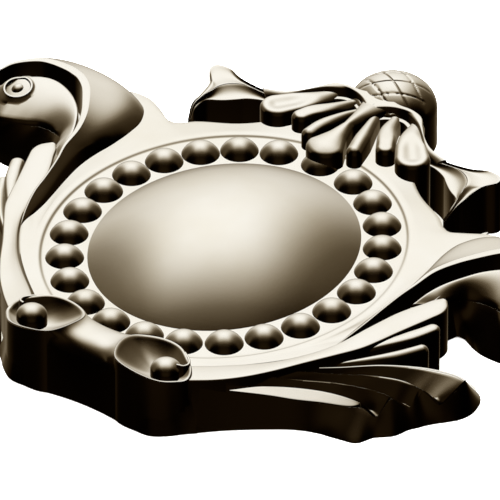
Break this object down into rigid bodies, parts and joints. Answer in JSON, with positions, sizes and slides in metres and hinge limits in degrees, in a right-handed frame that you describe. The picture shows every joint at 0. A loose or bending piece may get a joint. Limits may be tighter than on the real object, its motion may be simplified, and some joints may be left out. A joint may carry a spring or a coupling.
{
  "type": "ornamental cartouche",
  "caption": "Cast metal cartouche applique: an oval boss in a ring of beads, with scrolled volutes, ribbed folds and a leafy crest, flat on its back.",
  "frame": {"origin": "on the flat back plane, behind the centre of the oval boss", "axes": "+X across the width, +Y towards the crest, +Z out of the flat back towards the viewer"},
  "size_m": [0.348, 0.3007, 0.0467],
  "materials": {
    "pale_bronze": "polished, with a pale champagne tone"
  },
  "bodies": {
    "root": {"cartouche": "pale_bronze"}
  },
  "joints": []
}
